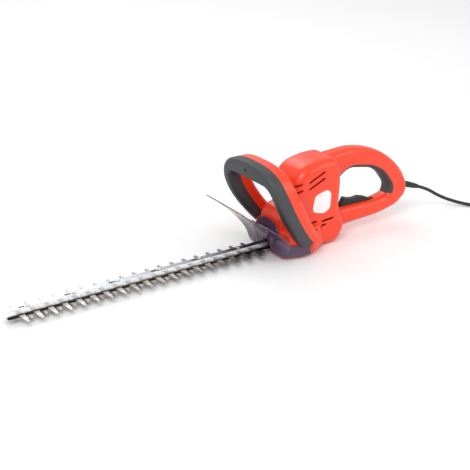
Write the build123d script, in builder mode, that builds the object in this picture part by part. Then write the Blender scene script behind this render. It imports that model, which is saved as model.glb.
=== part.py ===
"""Corded electric hedge trimmer with a 520 mm double-edged cutter, as separate pieces.

Working axes: X runs from the cutter tip (X = 0) back to the rear handle, Y is across the
machine and Z is up from the top face of the upper blade. save() shifts each piece into the
assembly frame, whose origin lies under the middle of the machine on the resting surface.
"""
import os
from math import cos, pi, radians, sin, tan

from build123d import *

os.makedirs("parts", exist_ok=True)

# ---- driving dimensions (mm) ----
FRAME_X = 468.48           # middle of the machine along X, without its cord
FRAME_Z = 14.0             # height of the cutting plane above the resting surface

PITCH = 27.0               # tooth pitch of both blades
TEETH = 19                 # long teeth along each edge that stand clear of the guard
STROKE = 6.75              # each blade moves this far either way
SPINE = 9.0                # half width of the blade spine
LONG_TIP = 36.7            # |Y| of the long tooth tips
SHORT_TIP = 22.0           # |Y| of the short tooth tips
BLADE_T = 2.0
UPPER_Z = -1.0             # underside of the upper blade
LOWER_Z = -3.15            # underside of the lower blade
SCREW_X = 43.0             # first cutter screw
SCREW_STEP = 3.25 * PITCH
SCREWS = 6

BAR_W = 12.6               # guide bar channel
BAR_Z = (1.15, 11.4)
BAR_WALL = 1.8

CRANK_X = 620.0            # crank gear axis
MOTOR_X = 655.0            # motor axis
ECC_R = 9.0                # eccentric discs
GEAR_TEETH = 54
PINION_TEETH = 9
GEAR_R = 29.8              # pitch radii
PINION_R = 4.95

SHAFT_R = 4.0
FIT = 0.05                 # radial running clearance

BODY_W = 43.0              # half width of the motor body
GRIP_W = 19.0              # half width of the rear handle
WALL = 3.0

CORD_D = 7.0


def save(part, name):
    """Shift a finished piece into the assembly frame and write its STEP file."""
    piece = part.moved(Location((-FRAME_X, 0, FRAME_Z)))
    piece.label = name
    export_step(piece, f"parts/{name}.step")


def block(x, y, z, mode=Mode.ADD):
    """A box between two X, two Y and two Z values."""
    with Locations((sum(x) / 2, sum(y) / 2, sum(z) / 2)):
        Box(x[1] - x[0], y[1] - y[0], z[1] - z[0], mode=mode)


def post(x, y, z, r, mode=Mode.ADD):
    """An upright cylinder between two Z values."""
    with Locations((x, y, (z[0] + z[1]) / 2)):
        Cylinder(r, z[1] - z[0], mode=mode)


def crossbar(x, z, y, r, mode=Mode.ADD):
    """A cylinder lying along Y between two Y values."""
    with Locations(Location((x, (y[0] + y[1]) / 2, z), (90, 0, 0))):
        Cylinder(r, y[1] - y[0], mode=mode)


# ---- cutter ----
def blade(z, tip, first, root_w, tip_w, name):
    """A toothed strip with screw slots and a crank window in its tail plate."""
    with BuildPart() as part:
        with BuildSketch(Plane.XY.offset(z)):
            with Locations((297, 0)):
                RectangleRounded(590, 2 * SPINE, 3)
            with Locations((CRANK_X, 0)):
                RectangleRounded(68, 48, 6)
        extrude(amount=BLADE_T)
        with BuildSketch(Plane.XY.offset(z)):
            for side in (-1, 1):
                for i in range(TEETH):
                    x = first + i * PITCH
                    corners = [(x + root_w / 2, side * (SPINE - 1.5)), (x + tip_w / 2, side * tip),
                               (x - tip_w / 2, side * tip), (x - root_w / 2, side * (SPINE - 1.5))]
                    Polygon(*corners[::side], align=None)
        extrude(amount=BLADE_T, taper=24)
        with BuildSketch(Plane.XY.offset(z)):
            for i in range(SCREWS):
                with Locations((SCREW_X + i * SCREW_STEP, 0)):
                    SlotOverall(23, 8.4)
            with Locations((CRANK_X, 0)):
                Rectangle(47, 33)
        extrude(amount=BLADE_T, mode=Mode.SUBTRACT)
    save(part.part, name)


blade(UPPER_Z, LONG_TIP, PITCH, 13.0, 5.6, "upper_blade")
blade(LOWER_Z, SHORT_TIP, 1.5 * PITCH, 12.5, 5.0, "lower_blade")

# guide bar: a square channel over the blades with an elongated slot ahead of each screw
with BuildPart() as guide_bar:
    block((-4, 586), (-BAR_W / 2, BAR_W / 2), BAR_Z)
    fillet(guide_bar.edges().filter_by(Axis.Z).group_by(Axis.X)[0], 3)
    fillet(guide_bar.edges().filter_by(Axis.X).group_by(Axis.Z)[-1], 1.2)
    block((0, 586), (-BAR_W / 2 + BAR_WALL, BAR_W / 2 - BAR_WALL), (BAR_Z[0], BAR_Z[1] - BAR_WALL), Mode.SUBTRACT)
    with BuildSketch(Plane.XY.offset(BAR_Z[1])):
        for i in range(SCREWS):
            with Locations((SCREW_X + i * SCREW_STEP - 12, 0)):
                SlotOverall(13, 4.6)
            with Locations((SCREW_X + i * SCREW_STEP, 0)):
                Circle(2.1)
        with Locations((577, 0)):
            Circle(2.6)
    extrude(amount=-BAR_WALL, mode=Mode.SUBTRACT)
save(guide_bar.part, "guide_bar")

# cutter screws: domed heads on the bar, shoulders through the blade slots
with BuildPart() as cutter_screws:
    for i in range(SCREWS):
        x = SCREW_X + i * SCREW_STEP
        post(x, 0, (BAR_Z[1], BAR_Z[1] + 2.2), 3.9)
        post(x, 0, (1.15, BAR_Z[1]), 2.1)
        post(x, 0, (-3.3, 1.15), 3.6)
        post(x, 0, (-6.6, -3.3), 2.0)
    fillet(cutter_screws.edges().filter_by(GeomType.CIRCLE).group_by(Axis.Z)[-1], 1.2)
    for i in range(SCREWS):
        block((SCREW_X + i * SCREW_STEP - 2.6, SCREW_X + i * SCREW_STEP + 2.6), (-0.6, 0.6),
              (BAR_Z[1] + 1.2, BAR_Z[1] + 2.4), Mode.SUBTRACT)
save(cutter_screws.part, "cutter_screws")

with BuildPart() as cutter_nuts:
    with BuildSketch(Plane.XY.offset(-6.4)):
        for i in range(SCREWS):
            with Locations((SCREW_X + i * SCREW_STEP, 0)):
                RegularPolygon(4.2, 6)
                Circle(2.0, mode=Mode.SUBTRACT)
    extrude(amount=2.3)
    with BuildSketch(Plane.XY.offset(-4.1)):
        for i in range(SCREWS):
            with Locations((SCREW_X + i * SCREW_STEP, 0)):
                Circle(6.2)
                Circle(2.0, mode=Mode.SUBTRACT)
    extrude(amount=0.8)
save(cutter_nuts.part, "cutter_nuts")

# ---- gearbox ----
CASE_X = (566, 698)
with BuildPart() as gear_case:
    block(CASE_X, (-38, 38), (2, 26))
    block(CASE_X, (-29, 29), (-8, 2))
    fillet(gear_case.edges().filter_by(Axis.Z), 5)
    block((570, 694), (-34, 34), (2, 22), Mode.SUBTRACT)
    block((570, 694), (-26, 26), (-8, 2), Mode.SUBTRACT)
    block((566, 572), (-BAR_W / 2, BAR_W / 2), (1.1, BAR_Z[1]), Mode.SUBTRACT)
    block((566, 572), (-11, 11), (-8, 1.1), Mode.SUBTRACT)
    block((569, 585), (-9, 9), (BAR_Z[1], 22.5))
    post(577, 0, (BAR_Z[1], 26), 2.6, Mode.SUBTRACT)
    post(CRANK_X, 0, (13.5, 22.5), 9)
    post(CRANK_X, 0, (13.5, 20.5), 6, Mode.SUBTRACT)
    post(MOTOR_X, 0, (25, 34), 13)
    post(MOTOR_X, 0, (22, 34), 6, Mode.SUBTRACT)
    post(MOTOR_X, 0, (27, 34), 9.5, Mode.SUBTRACT)
save(gear_case.part, "gear_case")

COVER_BOLTS = [(578, -19), (578, 19), (686, -19), (686, 19)]
with BuildPart() as bottom_cover:
    block((566, 698), (-25, 25), (-14, -8))
    fillet(bottom_cover.edges().filter_by(Axis.Z), 6)
    chamfer(bottom_cover.edges().group_by(Axis.Z)[0], 1.0)
    post(CRANK_X, 0, (-12.5, -8), 6, Mode.SUBTRACT)
    for x, y in COVER_BOLTS:
        post(x, y, (-14, -8), 2.0, Mode.SUBTRACT)
        post(x, y, (-14, -12), 4.0, Mode.SUBTRACT)
save(bottom_cover.part, "bottom_cover")

with BuildPart() as cover_screws:
    for x, y in COVER_BOLTS:
        post(x, y, (-13.8, -12), 3.9)
        post(x, y, (-12, -8), 2.0)
save(cover_screws.part, "cover_screws")

with BuildPart() as bar_bolt:
    post(577, 0, (26, 30), 4.4)
    post(577, 0, (BAR_Z[1] - BAR_WALL - 4, 26), 2.6)
    with BuildSketch(Plane.XY.offset(30)):
        with Locations((577, 0)):
            RegularPolygon(2.6, 6)
    extrude(amount=-2, mode=Mode.SUBTRACT)
save(bar_bolt.part, "bar_bolt")


def gear_outline(teeth, pitch_r, add, ded):
    """A spur gear outline with straight-sided teeth and plenty of backlash."""
    step = 2 * pi / teeth
    points = []
    for k in range(teeth):
        mid = k * step
        for r, a in ((-ded, -0.32), (add, -0.14), (add, 0.14), (-ded, 0.32)):
            points.append(((pitch_r + r) * cos(mid + a * step), (pitch_r + r) * sin(mid + a * step)))
    return points


with BuildPart() as crank_gear:
    with BuildSketch(Plane.XY.offset(3)):
        with Locations((CRANK_X, 0)):
            Polygon(*gear_outline(GEAR_TEETH, GEAR_R, 0.9, 1.3), align=None)
            Circle(SHAFT_R, mode=Mode.SUBTRACT)
            with PolarLocations(17, 6):
                Circle(5, mode=Mode.SUBTRACT)
    extrude(amount=8)
save(crank_gear.part, "crank_gear")

with BuildPart() as crank_shaft:
    post(CRANK_X, 0, (-12.3, 20.4), SHAFT_R)
    post(CRANK_X + STROKE, 0, (-1.07, 3), ECC_R)
    post(CRANK_X - STROKE, 0, (-3.3, -1.07), ECC_R)
save(crank_shaft.part, "crank_shaft")

with BuildPart() as crank_bushes:
    post(CRANK_X, 0, (13.5, 20.5), 6)
    post(CRANK_X, 0, (-12.5, -6), 6)
    post(CRANK_X, 0, (-12.5, 20.5), SHAFT_R + FIT, Mode.SUBTRACT)
save(crank_bushes.part, "crank_bushes")

# ---- motor ----
with BuildPart() as motor_shaft:
    with BuildSketch(Plane.XY.offset(2.2)):
        with Locations((MOTOR_X, 0)):
            Polygon(*gear_outline(PINION_TEETH, PINION_R, 0.8, 1.3), align=None)
    extrude(amount=11.8)
    post(MOTOR_X, 0, (14, 143.5), SHAFT_R)
save(motor_shaft.part, "motor_shaft")

with BuildPart() as motor_bearings:
    for z, r in (((27, 33), 9.5), ((137, 143), 8.0)):
        post(MOTOR_X, 0, z, r)
        post(MOTOR_X, 0, z, SHAFT_R + FIT, Mode.SUBTRACT)
save(motor_bearings.part, "motor_bearings")

with BuildPart() as fan:
    post(MOTOR_X, 0, (38, 40), 30)
    post(MOTOR_X, 0, (40, 50), 9)
    with BuildSketch(Plane.XY.offset(40)):
        with Locations((MOTOR_X, 0)):
            with PolarLocations(19, 12):
                Rectangle(21, 1.8)
    extrude(amount=9)
    post(MOTOR_X, 0, (38, 50), SHAFT_R, Mode.SUBTRACT)
save(fan.part, "fan")

with BuildPart() as armature_core:
    post(MOTOR_X, 0, (62, 106), 21.6)
    with BuildSketch(Plane.XY.offset(62)):
        with Locations((MOTOR_X, 0)):
            with PolarLocations(20.4, 12):
                Rectangle(4, 2.4)
    extrude(amount=44, mode=Mode.SUBTRACT)
    post(MOTOR_X, 0, (62, 106), SHAFT_R, Mode.SUBTRACT)
save(armature_core.part, "armature_core")

with BuildPart() as armature_windings:
    for z in ((54, 62), (106, 114)):
        post(MOTOR_X, 0, z, 18)
    fillet(armature_windings.edges().filter_by(GeomType.CIRCLE).group_by(Axis.Z)[0], 3)
    fillet(armature_windings.edges().filter_by(GeomType.CIRCLE).group_by(Axis.Z)[-1], 3)
    post(MOTOR_X, 0, (54, 114), SHAFT_R, Mode.SUBTRACT)
save(armature_windings.part, "armature_windings")

with BuildPart() as commutator:
    post(MOTOR_X, 0, (116, 131), 11)
    with BuildSketch(Plane.XY.offset(116)):
        with Locations((MOTOR_X, 0)):
            with PolarLocations(11, 16):
                Rectangle(1.6, 0.7)
    extrude(amount=15, mode=Mode.SUBTRACT)
    post(MOTOR_X, 0, (116, 131), SHAFT_R, Mode.SUBTRACT)
save(commutator.part, "commutator")

COIL_ANGLES = (38, 142, 218, 322)
with BuildPart() as stator_core:
    with BuildSketch(Plane.XY.offset(62)):
        with Locations((MOTOR_X, 0)):
            Circle(36)
            Circle(22.5, mode=Mode.SUBTRACT)
        for a in COIL_ANGLES:
            with Locations(Location((MOTOR_X + 27.5 * cos(radians(a)), 27.5 * sin(radians(a)), 0), (0, 0, a))):
                Rectangle(6, 9, mode=Mode.SUBTRACT)
    extrude(amount=44)
save(stator_core.part, "stator_core")

with BuildPart() as field_coils:
    for a in COIL_ANGLES:
        with BuildSketch(Plane.XY.offset(56)):
            with Locations(Location((MOTOR_X + 27.5 * cos(radians(a)), 27.5 * sin(radians(a)), 0), (0, 0, a))):
                Rectangle(6, 9)
        extrude(amount=56)
    for z in (56, 106):
        with BuildSketch(Plane.XY.offset(z)):
            with Locations((MOTOR_X, 0)):
                Circle(30.4)
                Circle(24.6, mode=Mode.SUBTRACT)
                Rectangle(31, 70, mode=Mode.SUBTRACT)
        extrude(amount=6)
save(field_coils.part, "field_coils")

with BuildPart() as brush_bracket:
    post(MOTOR_X, 0, (133, 137), 30)
    post(MOTOR_X, 0, (137, 146), 12)
    block((MOTOR_X - 30, MOTOR_X - 12), (-7, 7), (116, 133))
    block((MOTOR_X + 12, MOTOR_X + 30), (-7, 7), (116, 133))
    post(MOTOR_X, 0, (133, 144), 8, Mode.SUBTRACT)
    block((MOTOR_X - 30, MOTOR_X + 30), (-4, 4), (119, 128), Mode.SUBTRACT)
save(brush_bracket.part, "brush_bracket")

with BuildPart() as carbon_brushes:
    block((MOTOR_X - 28, MOTOR_X - 11.35), (-4, 4), (119, 128))
    block((MOTOR_X + 11.35, MOTOR_X + 28), (-4, 4), (119, 128))
save(carbon_brushes.part, "carbon_brushes")

# ---- front loop handle ----
LOOP_DEPTH = 24.2                                  # half depth along X
LOOP_SPINE = [(605, 19), (572.5, 57.5), (547, 97.5), (529.5, 138.5), (519, 181)]
LOOP_OUT = [(78, 14), (91, 57.5), (98, 97.5), (91.5, 140), (72, 167), (40, 179)]
LOOP_IN = [(53, 8), (61.5, 50), (68, 90), (69.5, 118)]
LOOP_TOP = 181.5
HOLE_TOP = 147


def loop_ring(inset):
    """Front-view outline of the loop, drawn across YZ."""
    k = inset
    with BuildSketch(Plane.YZ.offset(440)) as ring:
        with BuildLine():
            right = Spline(*[(y - k, z - (k if y < 60 else 0)) for y, z in LOOP_OUT], (0, LOOP_TOP - k),
                           tangents=[(0.2, 1), (-1, 0)])
            Line((0, LOOP_TOP - k), (0, HOLE_TOP + k))
            inner = Line((0, HOLE_TOP + k), (46, HOLE_TOP + k))
            corner = Spline((46, HOLE_TOP + k), (69.5 + k, 118), tangents=[(1, 0), (0, -1)])
            leg = Spline(*[(y + k, z) for y, z in reversed(LOOP_IN)], tangents=[(0, -1), (-0.2, -1)])
            Line((53 + k, 8), (78 - k, 14))
        make_face()
        mirror(about=Plane.YZ)
    return ring.sketch


def loop_band(front, rear):
    """Side-view band of the loop between two X offsets from its swept-back spine."""
    top = (519 - 4, 199)
    pts = LOOP_SPINE + [top]
    with BuildSketch(Plane.XZ) as band:
        with BuildLine():
            a = Spline(*[(x + front, z + 0.15 * front) for x, z in pts])
            b = Spline(*[(x + rear, z + 0.15 * rear) for x, z in pts])
            Line(a @ 0, b @ 0)
            Line(a @ 1, b @ 1)
        make_face()
    return band.sketch


def loop_solid(inset, front, rear):
    """The ring outline swept straight back, cut down to the side-view band."""
    with BuildPart() as loop:
        extrude(loop_ring(inset), amount=220)
        extrude(loop_band(front, rear), amount=120, both=True, mode=Mode.INTERSECT)
    return loop.part


def loop_half(front, rear, near_front):
    """One half of the loop, rounded on its outside edges and hollowed for the switch linkage."""
    with BuildPart() as half:
        add(loop_solid(0, front, rear))
        long_edges = half.edges().filter_by(lambda e: e.length > 30).sort_by(Axis.X)
        outside = [e for e in long_edges if on_face(e, near_front)]
        fillet(outside, 10)
        add(loop_solid(WALL + 1, front + (5 if near_front else 0), rear - (0 if near_front else 5)),
            mode=Mode.SUBTRACT)
        block((517, 537), (-47, 47), (HOLE_TOP - 2, HOLE_TOP + WALL + 2), Mode.SUBTRACT)
    return half.part


def on_face(edge, front):
    """True for an edge lying on the front (or rear) face of the loop band."""
    mid = edge @ 0.5
    heights = [z for x, z in LOOP_SPINE]
    spine = [x for x, z in LOOP_SPINE]
    k = max(i for i in range(len(heights) - 1) if heights[i] <= mid.Z + 4 or i == 0)
    t = (mid.Z - heights[k]) / (heights[k + 1] - heights[k])
    centre = spine[k] + t * (spine[k + 1] - spine[k])
    return mid.X < centre - 12 if front else mid.X > centre + 12


loop_grip = loop_half(-LOOP_DEPTH, 0, True)
loop_shell = loop_half(0, LOOP_DEPTH, False)
LOOP_SCREW_Z = 166
SPLIT_X = 523                                      # where the two halves meet at the screw


def loop_boss(x):
    """A screw boss along X inside the top of the loop."""
    with BuildPart() as boss:
        with Locations(Location((sum(x) / 2, 0, LOOP_SCREW_Z), (0, 90, 0))):
            Cylinder(6, x[1] - x[0])
    return boss.part


def bore_x(x, r):
    """A cylinder along X on the loop screw's axis."""
    with BuildPart() as bore:
        with Locations(Location((sum(x) / 2, 0, LOOP_SCREW_Z), (0, 90, 0))):
            Cylinder(r, x[1] - x[0])
    return bore.part


loop_grip = loop_grip + loop_boss((503, SPLIT_X)) - bore_x((490, 510), 3.5) - bore_x((500, SPLIT_X + 1), 1.75)
loop_shell = loop_shell + loop_boss((SPLIT_X, 542)) - bore_x((SPLIT_X - 1, 538), 1.75)
save(loop_grip, "loop_grip_front")
save(loop_shell, "loop_shell_rear")

save(bore_x((507.5, 510), 3.4) + bore_x((510, 537), 1.75), "loop_screw")

# two-hand switch bar, sunk into the underside of the loop's top and held by its flange
with BuildPart() as loop_switch_bar:
    block((518, 536), (-45.5, 45.5), (HOLE_TOP - 3.4, HOLE_TOP + 4.2))
    fillet(loop_switch_bar.edges().filter_by(Axis.Z), 3)
    fillet(loop_switch_bar.faces().sort_by(Axis.Z)[0].edges(), 1.5)
    block((514, 540), (-44, 44), (HOLE_TOP + 4.2, HOLE_TOP + 8))
save(loop_switch_bar.part, "loop_switch_bar")

# ---- clamshell body with its rear handle ----
def outline(points, radii):
    """A closed XZ outline with its corners rounded by the given radii."""
    with BuildSketch(Plane.XZ) as face:
        with BuildLine():
            FilletPolyline(*points, radius=radii, close=True)
        make_face()
    return face.sketch


TOWER = [(584, -14), (582, 116), (604, 156), (650, 165), (700, 165), (703, 112), (700, 66), (716, 18), (698, -14)]
TOWER_R = [24, 80, 46, 150, 24, 60, 40, 24, 24]
HANDLE = [(674, 164), (742, 168), (782, 161), (818, 148), (853, 124), (879, 97), (896, 66), (896, 42),
          (872, 20), (822, 9), (744, 6), (674, -2)]
HANDLE_R = [2, 165, 200, 140, 170, 120, 44, 26, 55, 240, 160, 2]
HAND_HOLE = [(710, 44), (710, 106), (740, 126), (797, 115), (824, 99), (849, 66), (846, 48), (816, 42)]
HAND_HOLE_R = [16, 30, 40, 84, 74, 20, 12.5, 120]
NOSE = [(553, 20), (553, 62), (566, 80), (600, 84), (600, 20)]

NOSE_R = [2, 22, 20, 6, 2]
FLARE = [(552, 36), (562, 56), (590, 64), (618, 64), (662, 38)]
FLARE_R = [14, 14, 20, 16, 2]


def rounded_slab(face, half, r):
    """A face extruded both ways from Y = 0 with its two rims rounded."""
    with BuildPart() as slab:
        extrude(face, amount=half, both=True)
        fillet(slab.edges().filter_by(lambda e: abs(abs(e.center().Y) - half) < 0.1), r)
    return slab.part


def shrunk(face, amount):
    """The same face with every edge moved inwards."""
    with BuildSketch(Plane.XZ) as smaller:
        add(face)
        offset(amount=-amount, kind=Kind.INTERSECTION)
    return smaller.sketch


def vent_slot(x, z, length, tilt, side):
    """A slot cutter through the side wall, tilted from the horizontal."""
    with BuildPart() as slot:
        with BuildSketch(Plane.XZ) as face:
            with Locations(Location((x, z, 0), (0, 0, tilt))):
                SlotOverall(length, 4.4)
        extrude(amount=-side * 60)
    return slot.part


tower = outline(TOWER, TOWER_R)
grip = outline(HANDLE, HANDLE_R)
hole = outline(HAND_HOLE, HAND_HOLE_R)
with BuildSketch(Plane.XZ) as grip_ring:
    add(grip)
    add(hole, mode=Mode.SUBTRACT)

with BuildPart() as flare:
    with BuildSketch(Plane.XY.offset(-10)):
        with BuildLine():
            FilletPolyline(*FLARE, *[(x, -y) for x, y in reversed(FLARE)],
                           radius=FLARE_R + FLARE_R[::-1], close=True)
        make_face()
    extrude(amount=50)
    fillet(flare.faces().sort_by(Axis.Z)[-1].outer_wire().edges(), 8)
    fillet(flare.faces().sort_by(Axis.Z)[0].outer_wire().edges(), 6)

grip_outer = rounded_slab(grip_ring.sketch, GRIP_W, 13)
outer = rounded_slab(tower, BODY_W, 19) + grip_outer + flare.part
outer = outer + rounded_slab(outline(NOSE, NOSE_R), 33, 12)
tower_room = rounded_slab(shrunk(tower, WALL), BODY_W - WALL, 16)
grip_room = rounded_slab(shrunk(grip_ring.sketch, WALL), GRIP_W - WALL, 10)
grip_wall = grip_outer - grip_room

with BuildPart() as ribs:
    for z in ((18, 26), (60, 64), (102, 106), (133, 137)):
        block((576, 730), (-41, 41), z)
    post(MOTOR_X, 0, (60, 110), 36, Mode.SUBTRACT)
    post(MOTOR_X, 0, (132, 138), 30, Mode.SUBTRACT)
    block((566, 698), (-38, 38), (10, 26), Mode.SUBTRACT)
    add(tower_room, mode=Mode.INTERSECT)

FASTENERS = [(602, 126, BODY_W), (684, 144, BODY_W), (596, 46, BODY_W), (772, 138, GRIP_W),
             (866, 70, GRIP_W), (838, 27, GRIP_W)]
with BuildPart() as bosses:
    for x, z, w in FASTENERS:
        crossbar(x, z, (-w + 1, w - 1), 5)

loop_room = loop_solid(0, -LOOP_DEPTH, LOOP_DEPTH)
shell = outer - (tower_room + grip_room) + ribs.part + bosses.part - loop_room
for side in (-1, 1):
    for x, z, length in ((637, 136, 42), (637, 122.5, 42), (596, 126, 16), (597, 114, 14)):
        shell = shell - vent_slot(x, z, length, 23, side)
    for x, z, length in ((630, 44, 18), (665, 42.5, 30), (622, 34, 14), (652, 33, 20)):
        shell = shell - vent_slot(x, z, length, 4, side)

BADGE = [(626, 66), (633, 99), (664, 106), (672, 96), (670, 66), (655, 58)]
BADGE_R = [10, 12, 10, 10, 12, 16]
badge_face = outline(BADGE, BADGE_R)
PIN_X, PIN_Z = 803, 33                             # trigger pivot
GUARD_SCREW = (30, 30)                             # |Y| and Z of the guard's screws
with BuildPart() as cuts:
    extrude(badge_face, amount=BODY_W + 2, both=True)
    extrude(badge_face, amount=BODY_W - 1.2, both=True, mode=Mode.SUBTRACT)
    block((566, 698), (-25, 25), (-15, -8))
    block((560, 698), (-38, 38), (2, 26))
    block((560, 698), (-29, 29), (-8, 2))
    block((545, 570), (-11.5, 11.5), (-8, 12.5))
    block((566, 600), (-22, 22), (40, 74))
    block((570, 584), (-6, 6), (24, 42))
    post(MOTOR_X, 0, (25, 36), 13)
    block((724, 816), (-6.6, 6.6), (14, 60))
    block((698, 722), (-9, 9), (12, 37))
    crossbar(PIN_X, PIN_Z, (-16.5, 16.5), 2)
    with Locations(Location((897, 0, 56), (0, 90, 0))):
        Cylinder(7.5, 24)
    for x, z, w in FASTENERS:
        crossbar(x, z, (-12, w), 1.75)
        crossbar(x, z, (w - 8.5, w + 2), 3.7)
    for y in (-GUARD_SCREW[0], GUARD_SCREW[0]):
        with Locations(Location((556, y, GUARD_SCREW[1]), (0, 90, 0))):
            Cylinder(1.75, 12)
body = shell - cuts.part
with BuildPart() as pin_bosses:
    for y in ((-16.5, -7.2), (7.2, 16.5)):
        crossbar(PIN_X, PIN_Z, y, 5)
        crossbar(PIN_X, PIN_Z, y, 2, Mode.SUBTRACT)
body = body + pin_bosses.part

# soft strip let into the wall of the grip round the upper and rear side of the hand hole
STRIP_W = 8
with BuildSketch(Plane.XZ) as strip_face:
    add(hole)
    offset(amount=STRIP_W, kind=Kind.ARC)
    with BuildLine():
        FilletPolyline((700, 104), (716, 84), (800, 76), (838, 49), (880, 49), (880, 150), (700, 150),
                       radius=2, close=True)
    make_face(mode=Mode.INTERSECT)
with BuildPart() as soft_strip:
    add(grip_wall)
    extrude(strip_face.sketch, amount=30, both=True, mode=Mode.INTERSECT)
    block((690, 708), (-30, 30), (0, 170), Mode.SUBTRACT)
save(soft_strip.part, "soft_grip_strip")
body = body - soft_strip.part
for name, keep in (("body_left", Keep.TOP), ("body_right", Keep.BOTTOM)):
    half = split(body, bisect_by=Plane.XZ, keep=keep)
    print(name, half.volume, len(half.solids()))
    save(half, name)

with BuildPart() as body_screws:
    for x, z, w in FASTENERS:
        crossbar(x, z, (-11, w - 8.5), 1.75)
        crossbar(x, z, (w - 8.5, w - 6), 3.5)
save(body_screws.part, "body_screws")

with BuildPart() as badge_plates:
    extrude(badge_face, amount=BODY_W + 0.2, both=True)
    extrude(badge_face, amount=BODY_W - 1.2, both=True, mode=Mode.SUBTRACT)
save(badge_plates.part, "badge_plates")

# ---- trigger and switches ----
TRIGGER = [(729, 26), (729, 46), (737, 61), (750, 56), (762, 54), (776, 55.5), (792, 51), (812, 41),
           (812, 28), (796, 25), (770, 24)]
with BuildPart() as trigger:
    extrude(outline(TRIGGER, [2, 6, 4, 12, 20, 16, 20, 3, 3, 8, 8]), amount=6, both=True)
    fillet(trigger.edges().filter_by(lambda e: abs(abs(e.center().Y) - 6) < 0.1), 1.2)
    crossbar(PIN_X, PIN_Z, (-6, 6), 2 + FIT, Mode.SUBTRACT)
save(trigger.part, "rear_trigger")

with BuildPart() as trigger_pin:
    crossbar(PIN_X, PIN_Z, (-16.4, 16.4), 2)
save(trigger_pin.part, "trigger_pin")

with BuildPart() as rear_switch:
    block((698, 722), (-9, 9), (12, 37))
    chamfer(rear_switch.edges().filter_by(Axis.Z), 1)
save(rear_switch.part, "rear_switch")

with BuildPart() as loop_switch:
    block((568, 590), (-12, 12), (40, 58))
    block((576, 582), (-3, 3), (58, 61))
save(loop_switch.part, "loop_switch")

with BuildPart() as capacitor:
    block((594, 612), (-8, 8), (64, 84))
    fillet(capacitor.edges().filter_by(Axis.Z), 2)
save(capacitor.part, "capacitor")

# ---- hand guard: skirt round the nose, arch in front of it and a shield leaning forward ----
SHIELD_SIDE = [(548.6, -8), (548.6, 10), (541, 28), (520, 52), (491, 76), (460, 99)]
SHIELD_OUT = [(46, -8), (60, -3), (70, 10), (84, 28), (94, 55), (96, 78), (91, 94)]
SHIELD_TOP = [(91, 94), (80, 97.5), (62, 93), (42, 80), (22, 64), (0, 57)]
with BuildSketch(Plane.YZ.offset(440)) as shield_face:
    with BuildLine():
        Line((0, -8), SHIELD_OUT[0])
        Spline(*SHIELD_OUT, tangents=[(1, 0.1), (-0.6, 1)])
        Spline(*SHIELD_TOP, tangents=[(-1, 0.6), (-1, 0)])
        Line(SHIELD_TOP[-1], (0, -8))
    make_face()
    mirror(about=Plane.YZ)
with BuildSketch(Plane.XZ) as shield_band:
    with BuildLine():
        front = Spline(*SHIELD_SIDE, tangents=[(0, 1), (-1, 0.75)])
        back = Spline(*[(x + 2.6 + 0.8 * (i > 2), z) for i, (x, z) in enumerate(SHIELD_SIDE)],
                      tangents=[(0, 1), (-1, 0.75)])
        Line(front @ 0, back @ 0)
        Line(front @ 1, back @ 1)
    make_face()
with BuildPart() as shield:
    extrude(shield_face.sketch, amount=130)
    extrude(shield_band.sketch, amount=110, both=True, mode=Mode.INTERSECT)

with BuildPart() as skirt:
    with BuildSketch(Plane.XY.offset(-8)) as skirt_face:
        with BuildLine():
            FilletPolyline(*FLARE, *[(x, -y) for x, y in reversed(FLARE)],
                           radius=FLARE_R + FLARE_R[::-1], close=True)
        make_face()
        offset(amount=3.4)
    extrude(amount=23)
    with BuildSketch(Plane.XY.offset(-8)):
        with BuildLine():
            FilletPolyline(*FLARE, *[(x, -y) for x, y in reversed(FLARE)],
                           radius=FLARE_R + FLARE_R[::-1], close=True)
        make_face()
        offset(amount=0.8)
    extrude(amount=23, mode=Mode.SUBTRACT)
    block((606, 700), (-90, 90), (-9, 16), Mode.SUBTRACT)

with BuildPart() as arch:
    with BuildSketch(Plane.YZ.offset(548.6)):
        with BuildLine():
            Line((-44, 8), (44, 8))
            Spline((44, 8), (40, 32), (24, 52), (0, 58), (-24, 52), (-40, 32), (-44, 8))
        make_face()
    extrude(amount=2.3)
with BuildPart() as guard_cuts:
    block((430, 560), (-11.5, 11.5), (-9, 13.5))
    for y in (-GUARD_SCREW[0], GUARD_SCREW[0]):
        with Locations(Location((548, y, GUARD_SCREW[1]), (0, 90, 0))):
            Cylinder(1.75, 20)
hand_guard = shield.part + skirt.part + arch.part - guard_cuts.part
print("guard", hand_guard.volume, len(hand_guard.solids()))
save(hand_guard, "hand_guard")

with BuildPart() as guard_screws:
    for y in (-GUARD_SCREW[0], GUARD_SCREW[0]):
        with Locations(Location((555.3, y, GUARD_SCREW[1]), (0, 90, 0))):
            Cylinder(1.75, 13.4)
        with Locations(Location((547.4, y, GUARD_SCREW[1]), (0, 90, 0))):
            Cylinder(3.8, 2.4)
save(guard_screws.part, "guard_screws")

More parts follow.
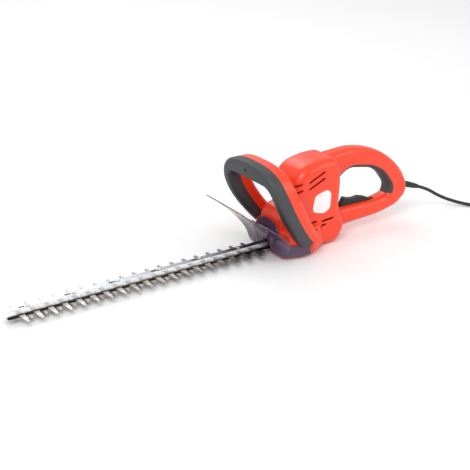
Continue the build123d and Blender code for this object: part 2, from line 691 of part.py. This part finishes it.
# ---- cord ----
TILT = radians(20)
SLEEVE_AT = (898, 0, 56)
SLEEVE_LEN = 44
with BuildPart() as sleeve:
    with Locations(Location((892, 0, 56), (0, 90, 0))):
        Cylinder(7.4, 14)
    with Locations(Location((886.5, 0, 56), (0, 90, 0))):
        Cylinder(9.6, 5)
    with BuildSketch(Plane(origin=SLEEVE_AT, x_dir=(0, 1, 0), z_dir=(cos(TILT), 0, -sin(TILT)))):
        Circle(6.6)
    with BuildSketch(Plane(origin=(SLEEVE_AT[0] + SLEEVE_LEN * cos(TILT), 0,
                                   SLEEVE_AT[2] - SLEEVE_LEN * sin(TILT)),
                           x_dir=(0, 1, 0), z_dir=(cos(TILT), 0, -sin(TILT)))):
        Circle(4.7)
    loft()
    with BuildSketch(Plane(origin=(SLEEVE_AT[0] + 2 * cos(TILT), 0, SLEEVE_AT[2] - 2 * sin(TILT)),
                           x_dir=(0, 1, 0), z_dir=(cos(TILT), 0, -sin(TILT)))):
        Circle(CORD_D / 2)
    extrude(amount=SLEEVE_LEN, mode=Mode.SUBTRACT)
save(sleeve.part, "cord_sleeve")

CORD = [(SLEEVE_AT[0] + 38 * cos(TILT), 0, SLEEVE_AT[2] - 38 * sin(TILT)),
        (SLEEVE_AT[0] + 70 * cos(TILT), 0, SLEEVE_AT[2] - 70 * sin(TILT)),
        (1000, -8, 7), (1035, -28, -8), (1058, -60, -10.4), (1095, -98, -10.4), (1140, -122, -10.4),
        (1186, -114, -5), (1226, -94, 4.6), (1258, -77, 4.6)]
PLUG_DIR = (0.8831, 0.4692, 0)


def cord_radii(points):
    """Bend radii that use just under half of the shorter neighbouring run."""
    radii = []
    for a, b, c in zip(points, points[1:], points[2:]):
        before = Vector(*b) - Vector(*a)
        after = Vector(*c) - Vector(*b)
        turn = radians(before.get_angle(after))
        radii.append(0.45 * min(before.length, after.length) / tan(turn / 2))
    return radii


radii = cord_radii(CORD)
print("cord radii", [round(r, 1) for r in radii])
with BuildPart() as cord:
    with BuildLine() as route:
        FilletPolyline(*CORD, radius=radii)
    path = route.wires()[0]
    with BuildSketch(Plane(origin=path @ 0, z_dir=path % 0)):
        Circle(CORD_D / 2)
    sweep(path=path)
print("cord length", path.length, "volume", cord.part.volume,
      "section x length", pi * CORD_D ** 2 / 4 * path.length)
save(cord.part, "mains_cord")

plug_frame = Plane(origin=CORD[-1], x_dir=(-PLUG_DIR[1], PLUG_DIR[0], 0), z_dir=PLUG_DIR)
with BuildPart() as plug:
    with BuildSketch(Plane.XZ):
        with BuildLine():
            Polyline((0, 0), (5, 0), (6.5, 20), (12, 26), (14, 44), (18, 50), (18, 57), (0, 57), close=True)
        make_face()
    revolve(axis=Axis.Z)
    fillet(plug.edges().filter_by(GeomType.CIRCLE).filter_by(lambda e: e.radius > 11), 1.5)
    with Locations((9.5, 0, 53), (-9.5, 0, 53)):
        Cylinder(1.8, 8, mode=Mode.SUBTRACT)
save(plug.part.moved(plug_frame.location), "mains_plug")

with BuildPart() as pins:
    with Locations((9.5, 0, 67), (-9.5, 0, 67)):
        Cylinder(2.4, 18)
    fillet(pins.edges().filter_by(GeomType.CIRCLE).group_by(Axis.Z)[-1], 1.2)
    with Locations((9.5, 0, 53.5), (-9.5, 0, 53.5)):
        Cylinder(1.8, 9)
save(pins.part.moved(plug_frame.location), "plug_pins")
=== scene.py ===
"""Looks of the corded hedge trimmer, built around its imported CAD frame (metres, +Z up)."""
import math

import bpy
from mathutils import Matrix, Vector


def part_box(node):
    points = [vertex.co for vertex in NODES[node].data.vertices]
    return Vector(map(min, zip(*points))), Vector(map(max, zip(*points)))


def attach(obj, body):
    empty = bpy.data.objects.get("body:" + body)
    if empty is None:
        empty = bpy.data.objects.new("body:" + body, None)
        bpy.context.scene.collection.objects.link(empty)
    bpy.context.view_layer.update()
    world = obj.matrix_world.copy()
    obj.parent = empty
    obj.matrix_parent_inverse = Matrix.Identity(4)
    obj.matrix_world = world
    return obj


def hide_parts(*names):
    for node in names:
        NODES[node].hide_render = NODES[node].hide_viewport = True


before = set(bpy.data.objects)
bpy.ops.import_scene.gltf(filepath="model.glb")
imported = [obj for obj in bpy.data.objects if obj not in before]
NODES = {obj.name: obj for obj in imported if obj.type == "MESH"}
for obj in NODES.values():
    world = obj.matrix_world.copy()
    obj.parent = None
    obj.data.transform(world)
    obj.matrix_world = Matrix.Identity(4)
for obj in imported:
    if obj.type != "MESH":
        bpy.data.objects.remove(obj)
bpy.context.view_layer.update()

BAR_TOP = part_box("guide_bar")[1][2]
BLADE_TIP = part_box("upper_blade")[0][0]
BLADE_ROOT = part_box("hand_guard")[0][0] + 0.12     # where the blades go into the guard
SPINE_EDGE = 0.0092                        # half width of the blades' spine
WALL_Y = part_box("body_left")[1][1]         # the body's side wall

CORD_D = 0.007
SLEEVE_AT = (0.42952, 0, 0.070)            # where the cord sleeve leaves the rear handle
SLEEVE_LEN = 0.044
SLEEVE_R = (0.0066, 0.0047)                # at the handle and at the far end
TILT = math.radians(20)                    # the sleeve's slope below the horizontal

VENT_X = 0.16852                           # middle of the two long slots
VENT_ROWS = (0.1500, 0.1365)               # their heights
VENT_TILT = math.radians(23)
LIP_R = 0.0013
LIP_GAP = 0.0036                           # from the middle of a slot to its lip
LIP_PROFILE = ((0.022, 0.0016), (0.0185, 0.0004), (0.006, 0.0004))     # (from the middle, sunk in the wall)

RIBS = 5
RIB_STEPS = 16
RIB_FIRST, RIB_PITCH = 0.010, 0.006        # along the sleeve
RIB_R = 0.0008

FLOOR_SIZE = 14
FLOOR_DROP = 0.0005                        # keeps the floor clear of the machine's flat base
WORLD_GLOW = 0.75
CAMERA_AT = (-1.1155, -1.6656, 0.9168)
CAMERA_TURN = math.radians(-33.95)         # about the vertical, from looking along +Y
CAMERA_DIP = math.radians(23.26)           # below the horizontal
CAMERA_LENS = 87.6


# ---- material helpers ----
class Shader:
    """A small builder for one procedural material around a Principled shader."""

    def __init__(self, name, color, rough=0.5, metal=0.0):
        self.mat = bpy.data.materials.new(name)
        self.mat.use_nodes = True
        self.nodes = self.mat.node_tree.nodes
        self.links = self.mat.node_tree.links
        self.bsdf = self.nodes["Principled BSDF"]
        self.bsdf.inputs["Base Color"].default_value = (*color, 1)
        self.bsdf.inputs["Roughness"].default_value = rough
        self.bsdf.inputs["Metallic"].default_value = metal
        self.coord = self.nodes.new("ShaderNodeTexCoord").outputs["Object"]

    def noise(self, scale, detail=4, stretch=(1, 1, 1)):
        """Noise over the object's own coordinates, stretched along its axes."""
        mapping = self.nodes.new("ShaderNodeMapping")
        mapping.inputs["Scale"].default_value = stretch
        self.links.new(self.coord, mapping.inputs["Vector"])
        tex = self.nodes.new("ShaderNodeTexNoise")
        tex.inputs["Scale"].default_value = scale
        tex.inputs["Detail"].default_value = detail
        self.links.new(mapping.outputs["Vector"], tex.inputs["Vector"])
        return tex.outputs["Fac"]

    def span(self, value, low, high, out_low, out_high):
        """A value mapped from one range to another and held at its ends."""
        node = self.nodes.new("ShaderNodeMapRange")
        node.inputs["From Min"].default_value = low
        node.inputs["From Max"].default_value = high
        node.inputs["To Min"].default_value = out_low
        node.inputs["To Max"].default_value = out_high
        self.links.new(value, node.inputs["Value"])
        return node.outputs["Result"]

    def mix(self, factor, first, second):
        node = self.nodes.new("ShaderNodeMix")
        node.data_type = "RGBA"
        a, b = [s for s in node.inputs if s.type == "RGBA"]
        for socket, value in ((a, first), (b, second)):
            if isinstance(value, tuple):
                socket.default_value = (*value, 1)
            else:
                self.links.new(value, socket)
        self.links.new(factor, node.inputs["Factor"])
        return [s for s in node.outputs if s.type == "RGBA"][0]

    def axis(self, index):
        """One of the object's coordinates, 0 to 2 for X to Z."""
        split = self.nodes.new("ShaderNodeSeparateXYZ")
        self.links.new(self.coord, split.inputs["Vector"])
        return split.outputs[index]

    def size_of(self, value):
        node = self.nodes.new("ShaderNodeMath")
        node.operation = "ABSOLUTE"
        self.links.new(value, node.inputs[0])
        return node.outputs["Value"]

    def paint(self, socket):
        self.links.new(socket, self.bsdf.inputs["Base Color"])
        return self

    def roughen(self, value, low, high):
        self.links.new(self.span(value, 0.3, 0.7, low, high), self.bsdf.inputs["Roughness"])
        return self

    def bump(self, height, strength, distance=0.0004):
        node = self.nodes.new("ShaderNodeBump")
        node.inputs["Strength"].default_value = strength
        node.inputs["Distance"].default_value = distance
        self.links.new(height, node.inputs["Height"])
        self.links.new(node.outputs["Normal"], self.bsdf.inputs["Normal"])
        return self


def shade(color, k):
    return tuple(min(1.0, c * k) for c in color)


def moulded(name, color, low, high, grain=2400, strength=0.12):
    """Injection-moulded plastic: slight mottling, uneven gloss and a fine spark texture."""
    s = Shader(name, color, (low + high) / 2)
    cloud = s.noise(9, 3)
    s.paint(s.mix(s.span(cloud, 0.35, 0.65, 0, 1), shade(color, 0.95), shade(color, 1.05)))
    s.roughen(s.noise(30, 3), low, high)
    s.bump(s.noise(grain, 2), strength, 0.0002)
    return s.mat


def metal(name, color, low, high, stretch=(1, 1, 1), scale=60, strength=0.08):
    """Bare or plated metal with brushed streaks and faint stains."""
    s = Shader(name, color, (low + high) / 2, 1.0)
    s.paint(s.mix(s.span(s.noise(14, 4), 0.35, 0.65, 0, 1), shade(color, 0.86), shade(color, 1.06)))
    streak = s.noise(scale, 5, stretch)
    s.roughen(streak, low, high)
    s.bump(streak, strength, 0.0002)
    return s.mat


ORANGE = (0.86, 0.052, 0.014)
GREY = (0.045, 0.049, 0.052)
BLACK = (0.010, 0.010, 0.011)

orange = moulded("orange plastic", ORANGE, 0.26, 0.36)
grey = moulded("grey soft grip", GREY, 0.5, 0.62, 1700, 0.3)
black = moulded("black plastic", BLACK, 0.38, 0.5)
white = moulded("white badge", (0.86, 0.86, 0.85), 0.2, 0.28, 900, 0.03)
cord_skin = moulded("cord rubber", (0.012, 0.012, 0.013), 0.42, 0.55, 1300, 0.2)
zinc = metal("zinc plate", (0.74, 0.74, 0.72), 0.22, 0.36)
steel = metal("machined steel", (0.52, 0.52, 0.53), 0.25, 0.4)
cast = metal("die casting", (0.42, 0.43, 0.44), 0.45, 0.6, scale=400, strength=0.4)
copper = metal("copper", (0.72, 0.34, 0.15), 0.25, 0.4)
bronze = metal("bronze", (0.62, 0.42, 0.2), 0.35, 0.5)
brass = metal("nickel brass", (0.8, 0.72, 0.5), 0.2, 0.3)
laminate = metal("laminations", (0.2, 0.21, 0.22), 0.4, 0.55, (1, 1, 60), 40, 0.3)


def bright_bar():
    """The guide bar: bright walls, and a greyer top that darkens toward the gearbox."""
    s = Shader("bright bar", (0.8, 0.81, 0.82), 0.27, 1.0)
    along = s.span(s.axis(0), BLADE_TIP, BLADE_ROOT, 0, 1)
    top = s.mix(along, (0.60, 0.64, 0.68), (0.13, 0.14, 0.17))
    s.paint(s.mix(s.span(s.axis(2), BAR_TOP - 0.0006, BAR_TOP - 0.0002, 0, 1), (0.93, 0.94, 0.95), top))
    streak = s.noise(20, 5, (1, 30, 30))
    s.roughen(streak, 0.2, 0.34)
    s.bump(streak, 0.08, 0.0002)
    return s.mat


def cutter_steel():
    """Blade steel with a black spine edge, and teeth pale at the tip and darker toward the gearbox."""
    s = Shader("cutter steel", (0.5, 0.47, 0.44), 0.35, 1.0)
    along = s.span(s.axis(0), BLADE_TIP + 0.05, BLADE_ROOT, 0, 1)
    stain = s.span(s.noise(70, 5), 0.35, 0.65, 0, 0.45)
    teeth = s.mix(stain, s.mix(along, (0.72, 0.68, 0.66), (0.10, 0.07, 0.06)), (0.20, 0.14, 0.12))
    edge = s.span(s.size_of(s.axis(1)), SPINE_EDGE, SPINE_EDGE + 0.0008, 0, 1)
    s.paint(s.mix(edge, (0.03, 0.03, 0.03), teeth))
    s.roughen(s.noise(90, 5, (1, 12, 1)), 0.26, 0.5)
    s.bump(s.noise(160, 4, (12, 1, 1)), 0.12, 0.0002)
    return s.mat


def smoked():
    """Clear smoked plastic of the hand guard."""
    s = Shader("smoked guard", (0.25, 0.2, 0.27), 0.12)
    s.paint(s.mix(s.span(s.noise(16, 3), 0.35, 0.65, 0, 1), (0.10, 0.062, 0.115), (0.14, 0.09, 0.155)))
    s.roughen(s.noise(50, 3), 0.08, 0.16)
    s.bump(s.noise(40, 2), 0.05, 0.0005)
    s.bsdf.inputs["Alpha"].default_value = 0.72
    return s.mat


bar_metal = bright_bar()
cutter = cutter_steel()
guard = smoked()

LOOKS = {
    orange: ("body_left", "body_right", "loop_shell_rear"),
    grey: ("loop_grip_front", "soft_grip_strip"),
    black: ("rear_trigger", "loop_switch_bar", "rear_switch", "loop_switch", "fan", "brush_bracket",
            "carbon_brushes"),
    white: ("badge_plates", "capacitor"),
    cord_skin: ("cord_sleeve", "mains_plug", "mains_cord"),
    bar_metal: ("guide_bar",),
    zinc: ("cutter_screws", "cutter_nuts", "cover_screws", "bar_bolt", "body_screws", "guard_screws",
           "loop_screw"),
    steel: ("crank_gear", "crank_shaft", "motor_shaft", "motor_bearings", "trigger_pin"),
    cast: ("gear_case", "bottom_cover"),
    copper: ("armature_windings", "commutator", "field_coils"),
    bronze: ("crank_bushes",),
    brass: ("plug_pins",),
    laminate: ("armature_core", "stator_core"),
    cutter: ("upper_blade", "lower_blade"),
    guard: ("hand_guard",),
}
for material, names in LOOKS.items():
    for name in names:
        node = NODES[name]
        node.data.materials.clear()
        node.data.materials.append(material)


# ---- the mains cord ----
def spline_tube(name, points, radius, material):
    """A round tube along a smooth open curve that the points control."""
    curve = bpy.data.curves.new(name, "CURVE")
    curve.dimensions = "3D"
    curve.bevel_depth = radius
    curve.bevel_resolution = 6
    curve.resolution_u = 24
    spline = curve.splines.new("NURBS")
    spline.points.add(len(points) - 1)
    for point, at in zip(spline.points, points):
        point.co = (*at, 1)
    spline.order_u = 3
    spline.use_endpoint_u = True
    curve.use_fill_caps = True
    curve.materials.append(material)
    tube = bpy.data.objects.new(name, curve)
    bpy.context.collection.objects.link(tube)
    return tube


def on_sleeve(distance):
    """A point on the cord sleeve's axis."""
    return (SLEEVE_AT[0] + distance * math.cos(TILT), 0, SLEEVE_AT[2] - distance * math.sin(TILT))


ROUTE = [on_sleeve(0.038), on_sleeve(0.070), (0.53152, -0.008, 0.021), (0.56652, -0.028, 0.006),
         (0.58952, -0.060, 0.0036), (0.62652, -0.098, 0.0036), (0.67152, -0.122, 0.0036),
         (0.71752, -0.114, 0.009), (0.75752, -0.094, 0.0186), (0.78952, -0.077, 0.0186)]
cord = spline_tube("cord_run", ROUTE, CORD_D / 2, cord_skin)
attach(cord, "machine")
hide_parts("mains_cord")


# ---- raised lips of the vents, and ribs round the cord sleeve ----
LIP_POINTS = [(-d, sunk) for d, sunk in LIP_PROFILE] + list(reversed(LIP_PROFILE))


def vent_lip(name, side, z, across):
    """A raised ridge along one edge of a slot, its ends sinking into the wall."""
    points = [(VENT_X + d * math.cos(VENT_TILT) - across * math.sin(VENT_TILT),
               side * (WALL_Y - sunk),
               z + d * math.sin(VENT_TILT) + across * math.cos(VENT_TILT)) for d, sunk in LIP_POINTS]
    return spline_tube(name, points, LIP_R, orange)


def sleeve_rib(name, distance):
    """A thin hoop round the tapered sleeve."""
    x, _, z = on_sleeve(distance)
    radius = SLEEVE_R[0] - (SLEEVE_R[0] - SLEEVE_R[1]) * distance / SLEEVE_LEN
    turns = [2 * math.pi * k / RIB_STEPS for k in range(RIB_STEPS + 1)]
    points = [(x + radius * math.cos(a) * math.sin(TILT), radius * math.sin(a),
               z + radius * math.cos(a) * math.cos(TILT)) for a in turns]
    return spline_tube(name, points, RIB_R, cord_skin)


for side in (-1, 1):
    for row, z in enumerate(VENT_ROWS):
        for edge in (-1, 1):
            lip = vent_lip("vent_lip_%d_%d_%d" % (side > 0, row, edge > 0), side, z, edge * LIP_GAP)
            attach(lip, "machine")

for i in range(RIBS):
    rib = sleeve_rib("sleeve_rib_%d" % i, RIB_FIRST + RIB_PITCH * i)
    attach(rib, "machine")


# ---- stage, light and camera ----
bpy.ops.mesh.primitive_plane_add(size=FLOOR_SIZE, location=(0, 0, -FLOOR_DROP))
floor = bpy.context.object
floor.name = "floor"
floor_look = Shader("floor", (0.92, 0.92, 0.92), 0.9)
floor_look.paint(floor_look.mix(floor_look.noise(3, 2), (0.91, 0.91, 0.91), (0.94, 0.94, 0.94)))
floor.data.materials.append(floor_look.mat)

world = bpy.data.worlds.new("studio")
bpy.context.scene.world = world
world.use_nodes = True
world.node_tree.nodes["Background"].inputs["Color"].default_value = (1, 1, 1, 1)
world.node_tree.nodes["Background"].inputs["Strength"].default_value = WORLD_GLOW


def direction(at, target):
    """The Euler angles of a lamp at one point that shines at another."""
    away = [t - a for t, a in zip(target, at)]
    flat = math.hypot(away[0], away[1])
    return (math.atan2(flat, -away[2]), 0, math.atan2(away[1], away[0]) - math.pi / 2)


def area_light(name, at, target, size, power):
    data = bpy.data.lights.new(name, "AREA")
    data.shape = "DISK"
    data.size = size
    data.energy = power
    lamp = bpy.data.objects.new(name, data)
    bpy.context.collection.objects.link(lamp)
    lamp.location = at
    lamp.rotation_euler = direction(at, target)


area_light("key", (-1.6, -1.4, 2.4), (0, 0, 0.05), 1.8, 42)
area_light("fill", (1.8, -2.0, 1.6), (0.1, 0, 0.05), 1.6, 14)
area_light("back", (0.6, 2.2, 2.0), (0, 0, 0.05), 1.6, 16)

camera_data = bpy.data.cameras.new("camera")
camera_data.lens = CAMERA_LENS
camera_data.sensor_width = 36
camera_data.clip_end = 60
camera = bpy.data.objects.new("camera", camera_data)
bpy.context.collection.objects.link(camera)
camera.location = CAMERA_AT
camera.rotation_euler = (math.pi / 2 - CAMERA_DIP, 0, CAMERA_TURN)
bpy.context.scene.camera = camera
bpy.context.scene.view_settings.view_transform = "Standard"
